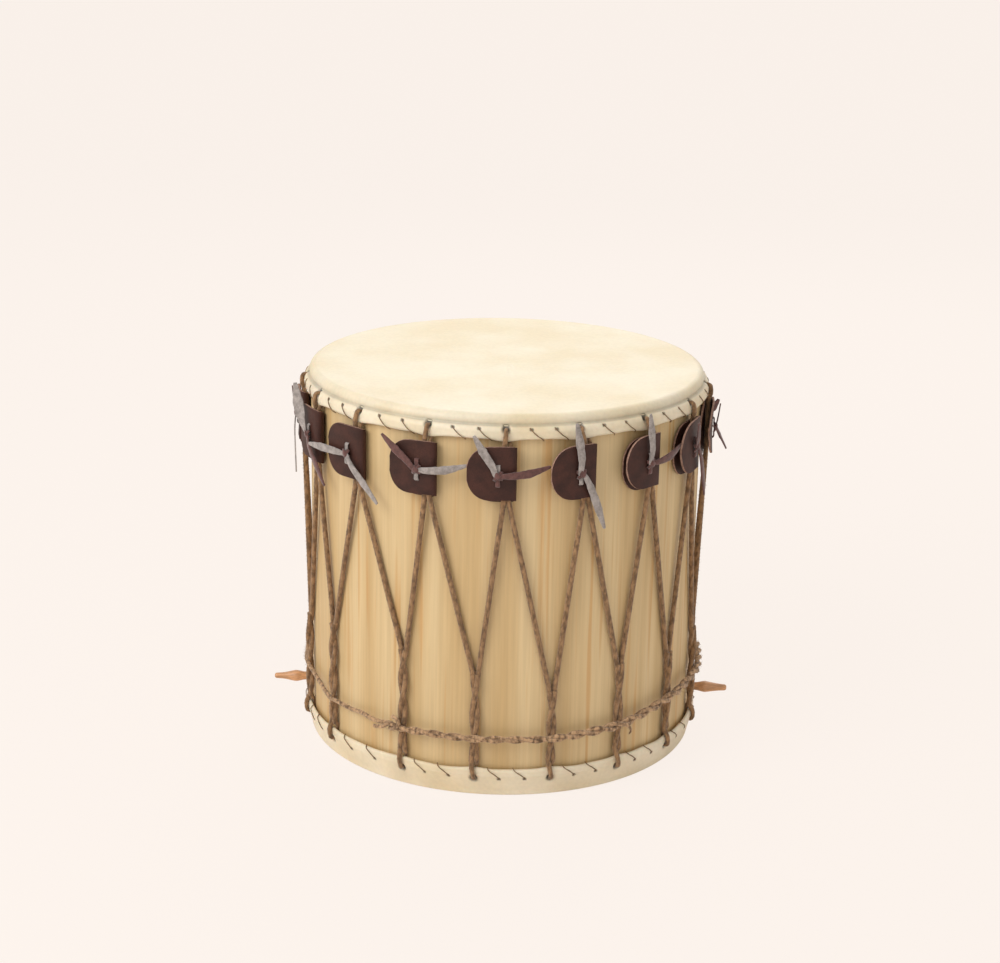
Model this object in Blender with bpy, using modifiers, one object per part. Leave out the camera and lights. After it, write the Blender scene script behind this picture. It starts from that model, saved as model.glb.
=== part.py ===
"""A medieval rope-tensioned drum.

A pine shell carries a skin at each end. Each skin is rolled over a cane flesh hoop and
whipped with thread. One jute rope zigzags between the two hems, and the two legs at each
upper hole run through a folded leather tug that is tied with a lace and slides down to
tighten them. A second rope is tied round the waist, and two turned pegs stand in the shell.

The drum stands on its lower skin at z = 0, its axis is Z and its front faces -Y. An azimuth
is in degrees from the front, positive towards +X. Lengths are metres.
"""
import math

import bmesh
import bpy
from mathutils import Matrix, Vector

# Shell
HEIGHT = 0.378
SHELL_RADIUS = 0.1935
SHELL_WALL = 0.009
FACETS = 51
CLEARANCE = 0.0003

# Skins and hems
SKIN_THICKNESS = 0.001
UPPER_SHOULDER = 0.0068
LOWER_SHOULDER = 0.0025
HOOP_THICKNESS = 0.0018
HOOP_HEIGHT = 0.0050
UPPER_HOLE_DROP = 0.0124
LOWER_HOLE_RISE = 0.0190
HOLE_TO_HOOP = 0.0033
HEM_ROUND = 0.0004
HEM_TURN = 0.0012
HOLE_RADIUS = 0.0030
HOLE_SIDES = 8

# Tension rope
ROPE_RADIUS = 0.0023
ROPE_BEND_RADIUS = 0.0019
ROPE_PINCHED_RADIUS = 0.0012
ROPE_SIDES_RESOLUTION = 1
STRAND_GAP = 0.0004
TUG_COUNT = 17
UPPER_HOLES_SEEN = (-64.7, -43.5, -21.0, 0.0, 20.0, 40.5, 62.0, 83.0)
LOWER_HOLES_SEEN = (-56.0, -28.0, -7.0, 14.2, 34.8, 55.5, 76.0, 96.8)
JUNCTION_HEIGHTS_SEEN = (0.140, 0.140, 0.125, 0.108, 0.125, 0.118, 0.120, 0.125)
JUNCTION_HEIGHT = 0.125
ROPE_END_LENGTH = 0.014

# Leather tugs
TUG_LEANS_SEEN = (0.0, -0.5, -0.3, 0.0, 1.5, 2.0, 1.0, 0.5)
TUG_HEIGHT = 0.0510
TUG_BELOW_HEM = 0.0050
TUG_FLAP = 0.0330
TUG_BACK_FLAP = 0.0300
TUG_BACK_DROP = 0.0040
TUG_CORNER = 0.0210
TUG_FLARE = 0.055
LEATHER_THICKNESS = 0.0022
SLEEVE_SLACK = 0.0017

# Laces
LACE_WIDTH = 0.0040
LACE_THICKNESS = 0.0011
LACE_TURN_WIDTH = 0.0024
LACE_TURN = 0.0022
LACE_LIFT = 0.0022
TAIL_WIDTH = 0.0056
TAIL_TIP_WIDTH = 0.0014
SLIT_CLEARANCE = 0.00035
SLIT_SPACING = 0.0210
SLIT_OFFSET = 0.0062

# Waist rope
WAIST_RADIUS = 0.0022
WAIST_KNOT_AZIMUTH = -28.0
WAIST_END_AZIMUTH = 103.0
WAIST_GAP = 0.0008
WAIST_PAD = 0.7
WAIST_TAIL = ((-8.0, -0.0070), (-5.2, -0.0052), (-2.6, -0.0006))

# Pegs
PEG_HEIGHT = 0.041
PEG_AZIMUTHS = {"left_peg": -88.0, "right_peg": 86.0}
PEG_SHANK_RADIUS = 0.0036
PEG_ROOT_RADIUS = 0.0040
PEG_BULGE_RADIUS = 0.0057
PEG_END_RADIUS = 0.0031
PEG_PROTRUSION = 0.0400
PEG_BULGE_REACH = 0.0170
PEG_INSIDE = 0.0060
PEG_SIDES = 12

MERGE = 0.00005

# Radii and heights that follow from the sizes above
FLAT = math.cos(math.pi / FACETS)
PINCHED_REACH = SHELL_RADIUS + CLEARANCE + 2 * ROPE_PINCHED_RADIUS
HOOP_INNER = (PINCHED_REACH + CLEARANCE) / FLAT
HOOP_OUTER = HOOP_INNER + HOOP_THICKNESS
HEM_INNER = HOOP_OUTER + CLEARANCE
HEM_RADIUS = HEM_INNER + SKIN_THICKNESS
SKIN_INNER = SHELL_RADIUS + CLEARANCE
SKIN_OUTER = SKIN_INNER + SKIN_THICKNESS
UPPER_HOLE_Z = HEIGHT - UPPER_HOLE_DROP
LOWER_HOLE_Z = LOWER_HOLE_RISE
UPPER_HOOP_TOP = UPPER_HOLE_Z - HOLE_TO_HOOP
UPPER_HOOP_BOTTOM = UPPER_HOOP_TOP - HOOP_HEIGHT
LOWER_HOOP_BOTTOM = LOWER_HOLE_Z + HOLE_TO_HOOP
LOWER_HOOP_TOP = LOWER_HOOP_BOTTOM + HOOP_HEIGHT
UPPER_LIP = UPPER_HOOP_BOTTOM - CLEARANCE - SKIN_THICKNESS
LOWER_LIP = LOWER_HOOP_TOP + CLEARANCE + SKIN_THICKNESS

BACK_LAYER = SHELL_RADIUS + CLEARANCE + LACE_THICKNESS + CLEARANCE + LEATHER_THICKNESS / 2
LEG_RADIUS = BACK_LAYER + LEATHER_THICKNESS / 2 + CLEARANCE + ROPE_RADIUS
FRONT_LAYER = LEG_RADIUS + ROPE_RADIUS + CLEARANCE + LEATHER_THICKNESS / 2
STRAND_STEP = 2 * ROPE_RADIUS + STRAND_GAP
LEFT_STRAND = -SLIT_OFFSET + LACE_WIDTH / 2 + 2 * CLEARANCE + ROPE_RADIUS + 0.0002
RIGHT_STRAND = LEFT_STRAND + STRAND_STEP
FOLD_CENTRE = RIGHT_STRAND + SLEEVE_SLACK
TUG_TOP = UPPER_LIP - TUG_BELOW_HEM
TUG_BOTTOM = TUG_TOP - TUG_HEIGHT
SLIT_MIDDLE = TUG_BOTTOM + TUG_HEIGHT / 2 - TUG_BACK_DROP / 2
WALL_STRAND = SHELL_RADIUS + CLEARANCE + ROPE_RADIUS
WAIST_LAY = WALL_STRAND + ROPE_RADIUS + CLEARANCE + WAIST_RADIUS


def spread(seen, count):
    """The azimuths that are seen at the front, then the rest evenly round the back."""
    left = count - len(seen)
    start, end = seen[-1], seen[0] + 360
    step = (end - start) / (left + 1)
    return list(seen) + [start + step * (i + 1) for i in range(left)]


def filled(seen, count, usual):
    """The values that are seen at the front, then the usual one."""
    return list(seen) + [usual] * (count - len(seen))


UPPER_HOLES = spread(UPPER_HOLES_SEEN, TUG_COUNT)
LOWER_HOLES = spread(LOWER_HOLES_SEEN, TUG_COUNT)
TUG_LEANS = filled(TUG_LEANS_SEEN, TUG_COUNT, 0.0)
JUNCTIONS = filled(JUNCTION_HEIGHTS_SEEN, TUG_COUNT, JUNCTION_HEIGHT)
TUG_AZIMUTHS = [hole + lean for hole, lean in zip(UPPER_HOLES, TUG_LEANS)]


def polar(azimuth, radius, z, along=0.0):
    """The point at an azimuth, moved along the wall by a length to the right."""
    angle = math.radians(azimuth) + along / SHELL_RADIUS
    return Vector((radius * math.sin(angle), -radius * math.cos(angle), z))


def collection(name):
    found = bpy.data.collections.new(name)
    bpy.context.scene.collection.children.link(found)
    return found


def material(name, colour, roughness):
    made = bpy.data.materials.new(name)
    made.use_nodes = True
    shader = made.node_tree.nodes["Principled BSDF"]
    shader.inputs["Base Color"].default_value = (*colour, 1)
    shader.inputs["Roughness"].default_value = roughness
    made.diffuse_color = (*colour, 1)
    return made


for old in list(bpy.data.objects):
    bpy.data.objects.remove(old)

DRUM = collection("medieval_drum")
CUTTERS = collection("cutters")
PINE = material("pine", (0.64, 0.44, 0.24), 0.55)
RAWHIDE = material("rawhide", (0.90, 0.80, 0.60), 0.5)
CANE = material("cane", (0.60, 0.45, 0.25), 0.6)
JUTE = material("jute", (0.23, 0.13, 0.07), 0.9)
PALE_JUTE = material("pale_jute", (0.45, 0.28, 0.14), 0.9)
LEATHER = material("leather", (0.07, 0.025, 0.017), 0.5)
SUEDE = material("suede", (0.33, 0.29, 0.27), 0.85)
TURNED_WOOD = material("turned_wood", (0.62, 0.28, 0.12), 0.45)


def place(mesh, name, finish, where=None):
    """An object for a mesh, in the drum's collection unless another is given."""
    made = bpy.data.objects.new(name, mesh)
    (where or DRUM).objects.link(made)
    if finish:
        mesh.materials.append(finish)
    return made


def as_cutter(made):
    made.hide_render = True
    made.display_type = "WIRE"
    return made


def cut(made, cutter):
    boolean = made.modifiers.new("cut", "BOOLEAN")
    boolean.operation = "DIFFERENCE"
    boolean.solver = "EXACT"
    boolean.object = cutter


def screw(made, steps):
    turn = made.modifiers.new("turn", "SCREW")
    turn.steps = turn.render_steps = steps
    turn.use_merge_vertices = True
    turn.merge_threshold = MERGE
    turn.use_smooth_shade = True


def turned(name, profile, finish, closed, steps=FACETS):
    """A profile of (radius, z) points down its outer side, turned round Z."""
    mesh = bpy.data.meshes.new(name)
    points = [(radius, 0, z) for radius, z in profile]
    edges = [(i, i + 1) for i in range(len(points) - 1)]
    if closed:
        edges.append((len(points) - 1, 0))
    mesh.from_pydata(points, edges, [])
    made = place(mesh, name, finish)
    screw(made, steps)
    return made


def arc(centre, radius, start, end, steps):
    """Points of a quarter round between two angles in degrees, 0 outwards and 90 up."""
    x, z = centre
    angles = [math.radians(start + (end - start) * i / steps) for i in range(steps + 1)]
    return [(x + radius * math.cos(a), z + radius * math.sin(a)) for a in angles]


def tube(name, points, radius, finish, factors=None, resolution=ROPE_SIDES_RESOLUTION):
    """A round cord along points, thinner where a factor says so."""
    curve = bpy.data.curves.new(name, "CURVE")
    curve.dimensions = "3D"
    curve.bevel_depth = radius
    curve.bevel_resolution = resolution
    curve.use_fill_caps = True
    spline = curve.splines.new("POLY")
    spline.points.add(len(points) - 1)
    for i, point in enumerate(points):
        spline.points[i].co = (*point, 1)
        spline.points[i].radius = factors[i] if factors else 1.0
    made = bpy.data.objects.new(name, curve)
    DRUM.objects.link(made)
    curve.materials.append(finish)
    return made


def make_shell():
    """The pine cylinder, rounded where the skins bear on it."""
    upper = UPPER_SHOULDER - SKIN_THICKNESS - CLEARANCE
    lower = LOWER_SHOULDER - SKIN_THICKNESS - CLEARANCE
    top = HEIGHT - SKIN_THICKNESS - CLEARANCE
    bottom = SKIN_THICKNESS + CLEARANCE
    profile = [(SHELL_RADIUS - SHELL_WALL, top)]
    profile += arc((SHELL_RADIUS - upper, top - upper), upper, 90, 0, 2)
    profile += arc((SHELL_RADIUS - lower, bottom + lower), lower, 0, -90, 1)
    profile += [(SHELL_RADIUS - SHELL_WALL, bottom)]
    shell = turned("shell", profile, PINE, closed=True)
    for name, azimuth in PEG_AZIMUTHS.items():
        cut(shell, peg_bore(name + "_bore", azimuth))
    return shell


def peg_bore(name, azimuth):
    """A cutter for the hole that a peg stands in."""
    mesh = bpy.data.meshes.new(name)
    cylinder = bmesh.new()
    radius = PEG_SHANK_RADIUS + CLEARANCE
    radius /= math.cos(math.pi / PEG_SIDES)
    bmesh.ops.create_cone(cylinder, cap_ends=True, segments=PEG_SIDES, radius1=radius,
                          radius2=radius, depth=4 * SHELL_WALL)
    cylinder.to_mesh(mesh)
    cylinder.free()
    cutter = place(mesh, name, None, CUTTERS)
    cutter.location = polar(azimuth, SHELL_RADIUS - SHELL_WALL / 2, PEG_HEIGHT)
    cutter.rotation_euler = peg_turn(azimuth)
    return as_cutter(cutter)


def peg_turn(azimuth):
    """Turns +Z to point outwards at an azimuth."""
    return (math.radians(90), 0, math.radians(azimuth))


def upper_skin_profile():
    """From the middle of the head over the shoulder, round the hem and back inside."""
    shoulder = (SKIN_OUTER - UPPER_SHOULDER, HEIGHT - UPPER_SHOULDER)
    crease = UPPER_HOLE_Z + HOLE_RADIUS + CLEARANCE
    bulge = UPPER_HOOP_TOP + CLEARANCE + HEM_ROUND
    low = UPPER_HOOP_BOTTOM + HEM_ROUND
    outer = [(0, HEIGHT)] + arc(shoulder, UPPER_SHOULDER, 90, 0, 3)
    outer += [(SKIN_OUTER, crease), (HEM_RADIUS, bulge + HEM_ROUND), (HEM_RADIUS, low)]
    outer += [(HEM_RADIUS - HEM_TURN, UPPER_LIP), (HOOP_INNER, UPPER_LIP)]
    inner = [(HOOP_INNER, UPPER_LIP + SKIN_THICKNESS)]
    inner += [(HEM_INNER, UPPER_LIP + SKIN_THICKNESS), (HEM_INNER, bulge)]
    inner += [(SKIN_INNER, crease - HEM_ROUND)]
    inner += arc(shoulder, UPPER_SHOULDER - SKIN_THICKNESS, 0, 90, 2)
    return outer + inner + [(0, HEIGHT - SKIN_THICKNESS)]


def lower_skin_profile():
    """From the middle of the lower head up inside, round the hem and down the outside."""
    shoulder = (SKIN_OUTER - LOWER_SHOULDER, LOWER_SHOULDER)
    crease = LOWER_HOLE_Z - HOLE_RADIUS - CLEARANCE
    inside = PINCHED_REACH + CLEARANCE
    bulge = LOWER_HOOP_BOTTOM - CLEARANCE - HEM_ROUND
    high = LOWER_HOOP_TOP - HEM_ROUND
    inner = [(0, SKIN_THICKNESS)]
    inner += arc(shoulder, LOWER_SHOULDER - SKIN_THICKNESS, -90, 0, 1)
    inner += [(inside, crease), (HEM_INNER, bulge), (HEM_INNER, LOWER_LIP - SKIN_THICKNESS)]
    inner += [(HOOP_INNER, LOWER_LIP - SKIN_THICKNESS)]
    outer = [(HOOP_INNER, LOWER_LIP), (HEM_RADIUS - HEM_TURN, LOWER_LIP)]
    outer += [(HEM_RADIUS, high), (HEM_RADIUS, bulge - HEM_ROUND)]
    outer += [(inside + SKIN_THICKNESS, crease)]
    outer += arc(shoulder, LOWER_SHOULDER, 0, -90, 2)
    return inner + outer + [(0, 0)]


def hole_cutter(name, azimuths, z):
    """Radial pins, one for each rope hole of a hem, joined in one cutter."""
    mesh = bpy.data.meshes.new(name)
    pins = bmesh.new()
    middle = (SHELL_RADIUS + HEM_RADIUS) / 2 + 0.002
    length = HEM_RADIUS - SHELL_RADIUS + 0.006
    for azimuth in azimuths:
        place_at = Matrix.Translation(polar(azimuth, middle, z))
        turn = Matrix.Rotation(math.radians(azimuth), 4, "Z")
        turn = turn @ Matrix.Rotation(math.radians(90), 4, "X")
        bmesh.ops.create_cone(pins, cap_ends=True, segments=HOLE_SIDES,
                              radius1=HOLE_RADIUS, radius2=HOLE_RADIUS, depth=length,
                              matrix=place_at @ turn)
    pins.to_mesh(mesh)
    pins.free()
    return as_cutter(place(mesh, name, None, CUTTERS))


def make_skins():
    upper = turned("upper_skin", upper_skin_profile(), RAWHIDE, closed=False)
    cut(upper, hole_cutter("upper_holes", UPPER_HOLES, UPPER_HOLE_Z))
    lower = turned("lower_skin", lower_skin_profile(), RAWHIDE, closed=False)
    cut(lower, hole_cutter("lower_holes", LOWER_HOLES, LOWER_HOLE_Z))


def make_flesh_hoop(name, bottom, top):
    """A flat cane hoop inside a hem."""
    profile = [(HOOP_OUTER, top), (HOOP_OUTER, bottom), (HOOP_INNER, bottom), (HOOP_INNER, top)]
    return turned(name, profile, CANE, closed=True)


def hook(hole, strand_from, strand_to, lip, upwards):
    """The rope over the front of a hem, in at its hole and out behind it.

    Gives (azimuth, along, radius, z, factor) points. The strand outside is at strand_from
    beyond the lip and the one behind is at strand_to.
    """
    front = HEM_RADIUS + CLEARANCE + ROPE_BEND_RADIUS
    behind = SHELL_RADIUS + CLEARANCE + ROPE_PINCHED_RADIUS
    middle, bend = (front + behind) / 2, (front - behind) / 2
    way = 1 if upwards else -1
    azimuth, z = hole
    turn_z = z - way * bend
    bent = ROPE_BEND_RADIUS / ROPE_RADIUS
    pinched = ROPE_PINCHED_RADIUS / ROPE_RADIUS
    points = [(azimuth, strand_from / 2, front, lip, bent)]
    for step in range(5):
        angle = math.radians(45 * step)
        share = step / 4
        factor = bent + (pinched - bent) * max(0, share - 0.25) / 0.75
        along = strand_to * 0.25 * max(0, share - 0.5) / 0.5
        points.append((azimuth, along, middle + bend * math.cos(angle),
                       turn_z + way * bend * math.sin(angle), factor))
    points.append((azimuth, strand_to * 0.8, behind, lip - way * 0.0012, pinched))
    return points


def rope_route():
    """The tension rope's points, from its first end at the back round to its other end."""
    points, factors = [], []

    def add(azimuth, along, radius, z, factor=1.0):
        points.append(polar(azimuth, radius, z, along))
        factors.append(factor)

    half = STRAND_STEP / 2
    last = (TUG_COUNT - 1) - 4
    order = [(last + 1 + i) % TUG_COUNT for i in range(TUG_COUNT)]
    start = LOWER_HOLES[last]
    clear = LOWER_LIP + 0.0045
    end_reach = WALL_STRAND + ROPE_END_LENGTH
    add(start, half, end_reach, clear + 0.012)
    add(start, half, WALL_STRAND, clear + 0.012)
    for tug in order:
        pair = tug
        before = (tug - 1) % TUG_COUNT
        lean = math.radians(TUG_LEANS[tug]) * SHELL_RADIUS
        azimuth = TUG_AZIMUTHS[tug]
        add(LOWER_HOLES[before], half, WALL_STRAND, JUNCTIONS[before])
        below = TUG_BOTTOM - TUG_BACK_DROP - 0.001
        add(azimuth, LEFT_STRAND - 0.0020, LEG_RADIUS, below)
        add(azimuth, LEFT_STRAND, LEG_RADIUS, SLIT_MIDDLE - SLIT_SPACING / 2 - 0.002)
        add(azimuth, LEFT_STRAND, LEG_RADIUS, TUG_TOP + 0.0005, 0.98)
        for point in hook((UPPER_HOLES[tug], UPPER_HOLE_Z), lean + LEFT_STRAND,
                          lean + RIGHT_STRAND, UPPER_LIP, True):
            add(*point)
        add(azimuth, RIGHT_STRAND, (LEG_RADIUS + SHELL_RADIUS + 0.0036) / 2, UPPER_LIP - 0.0042, 0.7)
        add(azimuth, RIGHT_STRAND, LEG_RADIUS, TUG_TOP - 0.0030, 0.93)
        add(azimuth, RIGHT_STRAND, LEG_RADIUS, SLIT_MIDDLE - SLIT_SPACING / 2 - 0.002)
        add(azimuth, RIGHT_STRAND, LEG_RADIUS, below)
        add(LOWER_HOLES[pair], -half, WALL_STRAND, JUNCTIONS[pair])
        add(LOWER_HOLES[pair], -half, WALL_STRAND, LOWER_LIP + 0.006)
        for point in hook((LOWER_HOLES[pair], LOWER_HOLE_Z), -half, half, LOWER_LIP, False):
            add(*point)
        add(LOWER_HOLES[pair], half, WALL_STRAND, LOWER_LIP + 0.006)
    add(start, half, WALL_STRAND, clear + 0.0035)
    add(start, half, end_reach, clear + 0.0035)
    return points, factors


def make_tension_rope():
    points, factors = rope_route()
    return tube("tension_rope", points, ROPE_RADIUS, JUTE, factors)


def tug_section():
    """The folded leather seen from above: (along, radius, share of full height, drop)."""
    def flap(length, shares):
        straight = length - TUG_CORNER
        for share in shares:
            along = straight + TUG_CORNER * share
            yield along, math.sqrt(max(0.0, 1 - (share * 0.95) ** 2))

    back = list(flap(TUG_BACK_FLAP, (1.0, 0.75, 0.4, 0.0)))
    front = list(flap(TUG_FLAP, (0.0, 0.4, 0.65, 0.85, 1.0)))
    section = [(-along, BACK_LAYER, height, 1.0) for along, height in back]
    fold = (FRONT_LAYER - BACK_LAYER) / 2
    centre = (FRONT_LAYER + BACK_LAYER) / 2
    for step in range(5):
        angle = math.radians(-90 + 45 * step)
        section.append((FOLD_CENTRE + fold * math.cos(angle), centre + fold * math.sin(angle),
                        1.0, 1 - step / 4))
    section += [(-along, FRONT_LAYER + TUG_FLARE * (FOLD_CENTRE + along), height, 0.0)
                for along, height in front]
    return section


def make_tug(name, azimuth):
    """One folded piece of leather, with two slits through both layers."""
    section = tug_section()
    sheet = bmesh.new()
    bmesh.ops.create_grid(sheet, x_segments=len(section) - 1, y_segments=1, size=0.5)
    for vert in sheet.verts:
        column = round((vert.co.x + 0.5) * (len(section) - 1))
        along, radius, share, drop = section[column]
        side = 1 if vert.co.y > 0 else -1
        middle = TUG_BOTTOM + TUG_HEIGHT / 2 - TUG_BACK_DROP * drop
        vert.co = polar(azimuth, radius, middle + side * share * TUG_HEIGHT / 2, along)
    mesh = bpy.data.meshes.new(name)
    sheet.to_mesh(mesh)
    sheet.free()
    tug = place(mesh, name, LEATHER)
    wall = tug.modifiers.new("leather", "SOLIDIFY")
    wall.thickness = LEATHER_THICKNESS
    wall.offset = 0
    wall.use_even_offset = True
    cut(tug, slit_cutter(name + "_slits", azimuth))
    return tug


def slit_heights():
    return (SLIT_MIDDLE - SLIT_SPACING / 2, SLIT_MIDDLE + SLIT_SPACING / 2)


def slit_cutter(name, azimuth):
    """Two flat bars through both layers of a tug."""
    bars = bmesh.new()
    depth = FRONT_LAYER - BACK_LAYER + 4 * LEATHER_THICKNESS
    size = (LACE_WIDTH + 2 * SLIT_CLEARANCE, depth, LACE_THICKNESS + 2 * SLIT_CLEARANCE)
    angle = math.radians(azimuth) - SLIT_OFFSET / SHELL_RADIUS
    for z in slit_heights():
        middle = polar(azimuth, (FRONT_LAYER + BACK_LAYER) / 2, z, -SLIT_OFFSET)
        where = Matrix.Translation(middle) @ Matrix.Rotation(angle, 4, "Z")
        bmesh.ops.create_cube(bars, size=1, matrix=where @ Matrix.Diagonal((*size, 1)))
    mesh = bpy.data.meshes.new(name)
    bars.to_mesh(mesh)
    bars.free()
    return as_cutter(place(mesh, name, None, CUTTERS))


# Each tail is a list of (degrees from the tug, z from the knot, reach beyond the tug's face),
# in metres, from the knot to its tip.
UP_LEFT = ((-3.2, 0.010, 0.0030), (-5.6, 0.024, 0.0045), (-7.6, 0.038, 0.0060))
TO_THE_RIGHT = ((1.6, 0.001, 0.0020), (5.0, 0.004, 0.0016), (9.0, 0.008, -0.0010))
TO_THE_LEFT = ((-5.0, 0.000, 0.0032), (-11.0, -0.001, 0.0050), (-18.0, -0.004, 0.0058))
DOWN_RIGHT = ((0.9, -0.010, 0.0026), (5.2, -0.024, 0.0020), (9.6, -0.040, 0.0020))
BLADE_LEFT = ((-4.0, 0.008, 0.0030), (-7.4, 0.018, 0.0042), (-11.2, 0.029, 0.0050))
GREY_RIGHT = ((1.6, 0.001, 0.0020), (5.0, 0.003, 0.0016), (9.0, 0.004, -0.0010))
STRAIGHT_UP = ((-2.2, 0.014, 0.0032), (-3.0, 0.032, 0.0045), (-4.0, 0.050, 0.0058))
LONG_DOWN = ((0.4, -0.012, 0.0026), (2.6, -0.032, 0.0020), (4.8, -0.054, 0.0020))
RISING_LEFT = ((-4.4, 0.018, 0.0040), (-7.4, 0.036, 0.0056), (-9.8, 0.050, 0.0070))
SHORT_UP = ((-2.6, 0.010, 0.0040), (-3.8, 0.026, 0.0060))
OUT_AND_UP = ((-3.0, 0.008, 0.0050), (-4.2, 0.024, 0.0100), (-5.0, 0.042, 0.0150))
OUT_AND_DOWN = ((0.6, -0.008, 0.0026), (2.4, -0.022, 0.0060))
TAILS_SEEN = (
    (RISING_LEFT, DOWN_RIGHT),
    (TO_THE_LEFT, DOWN_RIGHT),
    (BLADE_LEFT, GREY_RIGHT),
    (UP_LEFT, TO_THE_RIGHT),
    (STRAIGHT_UP, LONG_DOWN),
    (STRAIGHT_UP, TO_THE_RIGHT),
    (SHORT_UP, LONG_DOWN),
    (SHORT_UP, OUT_AND_DOWN),
    (OUT_AND_UP, LONG_DOWN),
)
TAILS_BEHIND = ((UP_LEFT, DOWN_RIGHT), (STRAIGHT_UP, LONG_DOWN), (BLADE_LEFT, DOWN_RIGHT))


def tails_of(number):
    if number < len(TAILS_SEEN):
        return TAILS_SEEN[number]
    return TAILS_BEHIND[number % len(TAILS_BEHIND)]


def lace_sections(azimuth, upper_tail, lower_tail):
    """The lace from one tip down the face, through both slits and out to the other tip.

    Each section is (azimuth, along, radius, z, width, square), where square marks the
    corners at which it turns straight into or out of a slit.
    """
    face = FRONT_LAYER + TUG_FLARE * (FOLD_CENTRE + SLIT_OFFSET) + LEATHER_THICKNESS / 2
    on_face = face + CLEARANCE + LACE_THICKNESS / 2
    behind = SHELL_RADIUS + CLEARANCE + LACE_THICKNESS / 2
    low, high = slit_heights()
    x = -SLIT_OFFSET
    sections = []

    def add(along, radius, z, width=LACE_WIDTH, turn=0.0, square=False):
        sections.append((azimuth + turn, along, radius, z, width, square))

    def tail(points):
        widths = [TAIL_WIDTH] * (len(points) - 1) + [TAIL_TIP_WIDTH]
        return [(0, on_face + reach, SLIT_MIDDLE + rise, width, turn)
                for (turn, rise, reach), width in zip(points, widths)]

    def turn_aside(way):
        """The quarter turn in which a strand leaves the middle of the tug's face."""
        for share in (0.0, 0.3, 0.7):
            bend = math.radians(90 * share)
            yield (x + way * LACE_TURN * (1 - math.cos(bend)), on_face + LACE_LIFT * share,
                   SLIT_MIDDLE - way * (LACE_TURN * (1.6 - math.sin(bend))), LACE_TURN_WIDTH)

    for point in reversed(tail(upper_tail)):
        add(*point)
    for point in reversed(list(turn_aside(-1))):
        add(*point)
    add(x, on_face, high, square=True)
    add(x, behind, high, square=True)
    add(x, behind, low, square=True)
    add(x, on_face, low, square=True)
    for point in turn_aside(1):
        add(*point)
    for point in tail(lower_tail):
        add(*point)
    return sections


def make_lace(name, azimuth, tails, finish):
    """A flat lace lofted through its sections, one closed strip with pointed tails."""
    sections = lace_sections(azimuth, *tails)
    middles = [polar(turn, radius, z, along) for turn, along, radius, z, _, _ in sections]
    strip = bmesh.new()
    rings = []
    last_across = None
    for i, (turn, along, _, _, width, square) in enumerate(sections):
        arriving = (middles[i] - middles[max(i - 1, 0)]).normalized()
        leaving = (middles[min(i + 1, len(middles) - 1)] - middles[i]).normalized()
        forward = (arriving + leaving).normalized()
        angle = math.radians(turn) + along / SHELL_RADIUS
        across = Vector((math.cos(angle), math.sin(angle), 0))
        if not square:
            across = forward.cross(Vector((math.sin(angle), -math.cos(angle), 0))).normalized()
        if last_across and across.dot(last_across) < 0:
            across = -across
        last_across = across
        normal = across.cross(forward).normalized()
        thickness = LACE_THICKNESS / (math.cos(math.radians(45)) if square else 1)
        sideways, outwards = across * width / 2, normal * thickness / 2
        corners = (middles[i] - sideways - outwards, middles[i] + sideways - outwards,
                   middles[i] + sideways + outwards, middles[i] - sideways + outwards)
        rings.append([strip.verts.new(corner) for corner in corners])
    for first, second in zip(rings, rings[1:]):
        for j in range(4):
            k = (j + 1) % 4
            strip.faces.new((first[j], first[k], second[k], second[j]))
    strip.faces.new(reversed(rings[0]))
    strip.faces.new(rings[-1])
    bmesh.ops.recalc_face_normals(strip, faces=strip.faces)
    mesh = bpy.data.meshes.new(name)
    strip.to_mesh(mesh)
    strip.free()
    return place(mesh, name, finish)


def make_tugs_and_laces():
    for number, azimuth in enumerate(TUG_AZIMUTHS):
        make_tug(f"tug_{number + 1:02d}", azimuth)
        finish = SUEDE if number % 2 else LEATHER
        make_lace(f"lace_{number + 1:02d}", azimuth, tails_of(number), finish)


def waist_heights(azimuth):
    """The waist rope's height: low at the front, higher at the sides."""
    seen = ((-180, 0.072), (-97, 0.073), (-76, 0.0745), (-56, 0.0625), (-28, 0.0620),
            (-7, 0.0620), (14.2, 0.0615), (34.8, 0.0645), (55.5, 0.0740), (76, 0.0760),
            (97, 0.0740), (140, 0.0725), (180, 0.072))
    azimuth = (azimuth + 180) % 360 - 180
    for (a, low), (b, high) in zip(seen, seen[1:]):
        if a <= azimuth <= b:
            return low + (high - low) * (azimuth - a) / (b - a)
    return seen[0][1]


def waist_route():
    """From the knot at the front left once round over every pair, then on to the right.

    The second lay runs a rope's width below the first.
    """
    pad = math.degrees((STRAND_STEP / 2 + ROPE_RADIUS) / SHELL_RADIUS) * WAIST_PAD
    half = WAIST_RADIUS + WAIST_GAP / 2
    proud = WAIST_LAY + 2 * WAIST_RADIUS + WAIST_GAP
    start, end = WAIST_KNOT_AZIMUTH, WAIST_END_AZIMUTH
    knot = waist_heights(start) + half
    points = [polar(start + turn, proud, knot + rise) for turn, rise in WAIST_TAIL]
    pairs = sorted((hole - start) % 360 for hole in LOWER_HOLES)
    for lap, pair in [(0, pair) for pair in pairs] + [(1, pair) for pair in pairs]:
        for offset in (-pad, pad):
            turned_by = 360 * lap + pair + offset
            if pad < turned_by + pad / 2 and turned_by < 360 + end - start:
                first = min(1, max(0, (170 - turned_by) / 40))
                second = min(1, max(0, (turned_by - 320) / 40))
                z = waist_heights(start + turned_by) + half * (first - second)
                points.append(polar(start + turned_by, WAIST_LAY, z))
    points.append(polar(end, WAIST_LAY, waist_heights(end) - half))
    return points


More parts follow.
